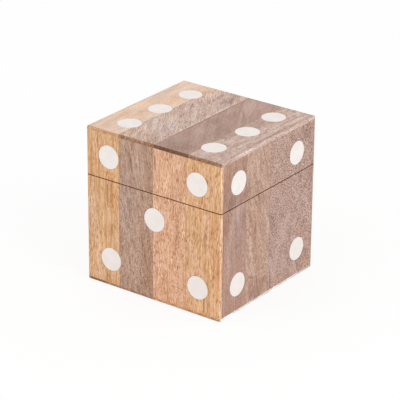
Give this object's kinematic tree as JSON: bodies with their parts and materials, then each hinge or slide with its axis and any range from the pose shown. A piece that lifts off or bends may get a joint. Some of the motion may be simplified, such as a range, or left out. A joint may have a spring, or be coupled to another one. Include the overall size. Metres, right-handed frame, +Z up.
{
  "type": "dice box with hinged lid",
  "caption": "Cube-shaped wooden box faced with vertical staves and marked like a die with round inlaid pips; the top third is a lid that swings on two butt hinges at the back.",
  "frame": {"origin": "middle of the underside of the box body, hinges left out", "axes": "+X to the right along the front, which is the face with five pips; +Y from front to back, towards the hinges; +Z up"},
  "size_m": [0.1, 0.1008, 0.1015],
  "materials": {
    "golden_wood": "satin, fine straight grain with short dark pores",
    "peach_wood": "satin, fine straight grain with short dark pores",
    "pale_wood": "satin, pale with faint grain",
    "grey_wood": "satin, grey-brown with mottled grain",
    "rosy_wood": "satin, pinkish with streaked grain",
    "mauve_wood": "satin, mauve-brown with speckled grain",
    "dark_mauve_wood": "satin, mauve-brown with smooth bands",
    "core_wood": "sanded, plain",
    "inlay": "off-white resin sanded flush, satin",
    "brass": "drawn brass, satin"
  },
  "bodies": {
    "base": {"base_front_stave_1": "golden_wood", "base_front_stave_2": "grey_wood", "base_front_stave_3": "peach_wood", "base_front_stave_4": "golden_wood", "base_right_stave_1": "dark_mauve_wood", "base_right_stave_2": "rosy_wood", "base_right_stave_3": "mauve_wood", "base_right_stave_4": "mauve_wood", "base_back_stave_1": "mauve_wood", "base_back_stave_2": "peach_wood", "base_back_stave_3": "grey_wood", "base_back_stave_4": "golden_wood", "base_left_stave_1": "grey_wood", "base_left_stave_2": "golden_wood", "base_left_stave_3": "mauve_wood", "base_left_stave_4": "peach_wood", "bottom_stave_1": "grey_wood", "bottom_stave_2": "peach_wood", "bottom_stave_3": "golden_wood", "bottom_stave_4": "rosy_wood", "base_core_front": "core_wood", "base_core_right": "core_wood", "base_core_back": "core_wood", "base_core_left": "core_wood", "base_core_bottom": "core_wood", "base_pips": "inlay", "left_hinge_base_leaf": "brass", "left_hinge_pin": "brass", "right_hinge_base_leaf": "brass", "right_hinge_pin": "brass", "base_hinge_screws": "brass"},
    "lid": {"top_stave_1": "pale_wood", "top_stave_2": "rosy_wood", "top_stave_3": "dark_mauve_wood", "top_stave_4": "rosy_wood", "lid_front_stave_1": "golden_wood", "lid_front_stave_2": "grey_wood", "lid_front_stave_3": "peach_wood", "lid_front_stave_4": "golden_wood", "lid_right_stave_1": "dark_mauve_wood", "lid_right_stave_2": "rosy_wood", "lid_right_stave_3": "mauve_wood", "lid_right_stave_4": "mauve_wood", "lid_back_stave_1": "mauve_wood", "lid_back_stave_2": "peach_wood", "lid_back_stave_3": "grey_wood", "lid_back_stave_4": "golden_wood", "lid_left_stave_1": "grey_wood", "lid_left_stave_2": "golden_wood", "lid_left_stave_3": "mauve_wood", "lid_left_stave_4": "peach_wood", "lid_core_front": "core_wood", "lid_core_right": "core_wood", "lid_core_back": "core_wood", "lid_core_left": "core_wood", "lid_core_top": "core_wood", "lid_pips": "inlay", "left_hinge_lid_leaf": "brass", "right_hinge_lid_leaf": "brass", "lid_hinge_screws": "brass"}
  },
  "joints": [
    {"name": "lid_hinge", "type": "hinge", "parent": "base", "child": "lid", "pos_m": [0, 0.0505, 0.07], "axis": [-1, 0, 0], "range_deg": [0, 180]}
  ]
}
